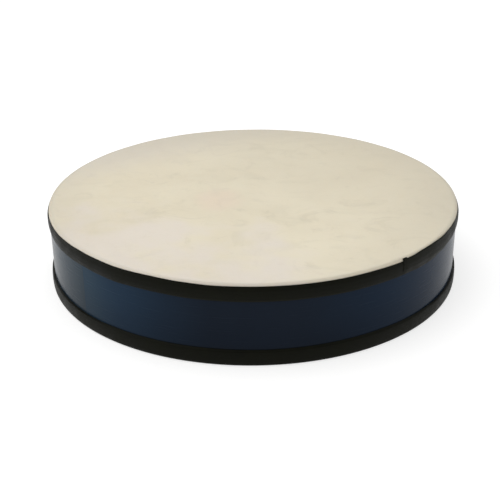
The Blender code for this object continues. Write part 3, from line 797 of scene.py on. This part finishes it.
# ------------------------------------------------------------------ crossbars
def crossbar(name, along_x, mat, node):
    """Planed bar with softened long edges, half-lapped at the middle, its ends cut to the hoop's curve."""
    bm = bmesh.new()
    half, w, t = BAR_HALF + 0.4, BAR_W / 2, BAR_T / 2
    # cross-section with rounded corners, run along the bar in short steps
    section = []
    for cx, cy, a0 in ((w - 3, t - 3, 0), (-(w - 3), t - 3, 90), (-(w - 3), -(t - 3), 180), (w - 3, -(t - 3), 270)):
        for i in range(6):
            a = math.radians(a0 + 90 * i / 5)
            section.append((cx + 3 * math.cos(a), cy + 3 * math.sin(a)))
    rings = []
    stations = [-half + 0.01 + (2 * half - 0.02) * i / 60 for i in range(61)]
    for i, s in enumerate(stations):
        ring = []
        for a, b in section:
            along = s
            if i in (0, 60):
                # ends follow the hoop's inner wall, 0.25 mm short of it
                along = math.copysign(math.sqrt((195.7 - 0.25) ** 2 - a * a), s)
            x, y = (along, a) if along_x else (-a, along)
            ring.append(bm.verts.new((x * MM, y * MM, (BAR_Z0 + BAR_T / 2 + b) * MM)))
        rings.append(ring)
    m = len(section)
    for a, b in zip(rings, rings[1:]):
        for k in range(m):
            j = (k + 1) % m
            bm.faces.new((a[k], a[j], b[j], b[k]))
    for ring in (rings[0], rings[-1]):
        bm.faces.new(ring)
    bmesh.ops.recalc_face_normals(bm, faces=bm.faces)
    obj = temp(name, bm)
    mid = BAR_Z0 + BAR_T / 2
    bm = bmesh.new()
    if along_x:
        box_mesh(bm, (BAR_W + 0.3, 40.0, 20.0), Matrix.Translation((0, 0, (mid + 9.92) * MM)))
    else:
        box_mesh(bm, (40.0, BAR_W + 0.3, 20.0), Matrix.Translation((0, 0, (mid - 9.92) * MM)))
    carve(obj, temp("cut_lap", bm))
    bm = bmesh.new()
    for tt in (90, 270) if along_x else (0, 180):
        cone_mesh(bm, 2.1, 2.1, 60.0, Matrix.Translation(at(tt, 199.0, SCREW_Z)) @ radial(tt), 24)
    cone_mesh(bm, 2.1, 2.1, 22.6, Matrix.Translation((0, 0, (BAR_Z0 + 1.3) * MM)), 24)
    carve(obj, temp("cut_bar_bores", bm))
    if along_x:
        bm = bmesh.new()
        cone_mesh(bm, 7.55, 1.55, 6.0, Matrix.Translation((0, 0, (BAR_Z0 + 0.1) * MM)), 48)
        carve(obj, temp("cut_bar_sink", bm))
    finish_mesh(obj, 35)
    return place(obj, mat, "bar_wood", node)


crossbar("cross_bar_lower", True, BEECH_X, "crossbar_lower")
crossbar("cross_bar_upper", False, BEECH_Y, "crossbar_upper")

# ------------------------------------------------------------------ centre screw
prof = [(0.0, 0.0), (2.2, 0.0), (3.4, -0.02), (3.75, -0.10), (3.9, -0.30), (3.85, -0.45), (1.95, -2.4), (1.8, -2.8)]
z = -3.2
while z > -9.5:  # thread
    prof += [(1.25, z), (1.25, z - 0.35), (1.8, z - 0.62), (1.25, z - 0.9)]
    z -= 1.0
prof += [(1.1, -10.6), (0.0, -12.0)]
centre = lathe("centre_screw_fine", prof, 48)
bm = bmesh.new()
a, b = 2.0, 0.42
plan = [(a, -b), (a, b), (b, b), (b, a), (-b, a), (-b, b), (-a, b), (-a, -b), (-b, -b), (-b, -a), (b, -a), (b, -b)]
levels = []
for zz, k in ((-1.5, 0.62), (0.9, 1.12)):
    levels.append([bm.verts.new((x * k * MM, y * k * MM, zz * MM)) for x, y in plan])
for i in range(12):
    j = (i + 1) % 12
    bm.faces.new((levels[0][i], levels[0][j], levels[1][j], levels[1][i]))
bm.faces.new(levels[0])
bm.faces.new(levels[1])
bmesh.ops.recalc_face_normals(bm, faces=bm.faces)
carve(centre, temp("cut_recess", bm))
centre.data.transform(
    Matrix.Translation((0, 0, (BAR_Z0 + 0.25) * MM)) @ Matrix.Rotation(math.pi, 4, "X") @ Matrix.Rotation(0.4, 4, "Z")
)
finish_mesh(centre, 30)
place(centre, ZINC, "screw_steel", "centre_screw")

# ------------------------------------------------------------------ floor, lights, camera
# the floor is open under the drum, where nothing shows, and can be looked through from below
bm = bmesh.new()
loops = []
for rad in (0.2035, 0.26, 0.6, 2.5, 9.0):
    loops.append([bm.verts.new((rad * math.cos(math.tau * k / 128), rad * math.sin(math.tau * k / 128), 0)) for k in range(128)])
for a, b in zip(loops, loops[1:]):
    for k in range(128):
        j = (k + 1) % 128
        bm.faces.new((a[k], b[k], b[j], a[j]))
floor = temp("floor", bm)
floor.location.z = -0.0004
p = Paint("pale_floor")
soft = p.noise(p.coords(), 1.3, 2.0)
p.colour(p.ramp(soft, (0.3, (0.520, 0.520, 0.517)), (0.7, (0.532, 0.532, 0.529))))
p.rough(0.9)
p.set(Specular_IOR_Level=0.0, Emission_Strength=0.60)
p.b.inputs["Emission Color"].default_value = (1.0, 1.0, 1.0, 1.0)
clear = p.node("ShaderNodeBsdfTransparent")
choose = p.node("ShaderNodeMixShader")
p.t.links.new(p.node("ShaderNodeNewGeometry").outputs["Backfacing"], choose.inputs[0])
p.t.links.new(p.b.outputs[0], choose.inputs[1])
p.t.links.new(clear.outputs[0], choose.inputs[2])
p.t.links.new(choose.outputs[0], p.t.nodes["Material Output"].inputs["Surface"])
floor.data.materials.append(p.m)

world = bpy.data.worlds.new("studio")
bpy.context.scene.world = world
world.use_nodes = True
bg = world.node_tree.nodes["Background"]
# a white studio, a little dimmer in front, brighter at both sides
wt = world.node_tree


def wnode(kind, **props):
    n = wt.nodes.new(kind)
    for k, v in props.items():
        setattr(n, k, v)
    return n


direction = wnode("ShaderNodeTexCoord").outputs["Generated"]
xyz = wnode("ShaderNodeSeparateXYZ")
wt.links.new(direction, xyz.inputs[0])
front = wnode("ShaderNodeMapRange", interpolation_type="SMOOTHSTEP")
front.inputs["From Min"].default_value = -0.15
front.inputs["From Max"].default_value = -0.95
front.inputs["To Min"].default_value = 1.0
front.inputs["To Max"].default_value = 0.35
wt.links.new(xyz.outputs[1], front.inputs["Value"])
left = wnode("ShaderNodeMapRange", interpolation_type="SMOOTHSTEP")
left.inputs["From Min"].default_value = 0.0
left.inputs["From Max"].default_value = -0.9
left.inputs["To Min"].default_value = 0.93
left.inputs["To Max"].default_value = 1.25
wt.links.new(xyz.outputs[0], left.inputs["Value"])
both = wnode("ShaderNodeMath", operation="MULTIPLY")
wt.links.new(front.outputs["Result"], both.inputs[0])
wt.links.new(left.outputs["Result"], both.inputs[1])
camera_ray = wnode("ShaderNodeLightPath").outputs["Is Camera Ray"]
seen = wnode("ShaderNodeMix", data_type="FLOAT")
wt.links.new(camera_ray, seen.inputs[0])
wt.links.new(both.outputs[0], seen.inputs[2])
seen.inputs[3].default_value = 1.0
wt.links.new(seen.outputs[0], bg.inputs["Strength"])
bg.inputs["Color"].default_value = (1.0, 1.0, 1.0, 1.0)


def area_light(name, position, target, size, power, colour=(1, 1, 1)):
    data = bpy.data.lights.new(name, "AREA")
    data.shape = "RECTANGLE"
    data.size, data.size_y = size
    data.energy = power
    data.color = colour
    obj = link(bpy.data.objects.new(name, data))
    obj.location = position
    obj.rotation_euler = (Vector(target) - Vector(position)).to_track_quat("-Z", "Y").to_euler()
    return obj


area_light("key", (-0.8, -0.3, 1.7), (0, 0, 0.05), (1.9, 1.9), 8.6, (1.0, 0.992, 0.98))

ELEV, DIST, ROLL = math.radians(25.332), 1.0001, math.radians(-0.588)
target = Vector((-0.00333, 0.0, 0.01239))
cam_data = bpy.data.cameras.new("camera")
cam_data.sensor_width = 36.0
cam_data.lens = 69.077
cam_data.clip_start = 0.01
cam_data.clip_end = 50.0
cam = link(bpy.data.objects.new("camera", cam_data))
ce, se = math.cos(ELEV), math.sin(ELEV)
right, up, back = Vector((1, 0, 0)), Vector((0, se, ce)), Vector((0, -ce, se))
c, s = math.cos(ROLL), math.sin(ROLL)
right2, up2 = right * c + up * s, up * c - right * s
m = Matrix((right2, up2, back)).transposed().to_4x4()
m.translation = target + back * DIST
cam.matrix_world = m
bpy.context.scene.camera = cam

view = bpy.context.scene.view_settings
view.view_transform = "Standard"
view.look = "None"
view.exposure = 0.0
view.gamma = 1.0
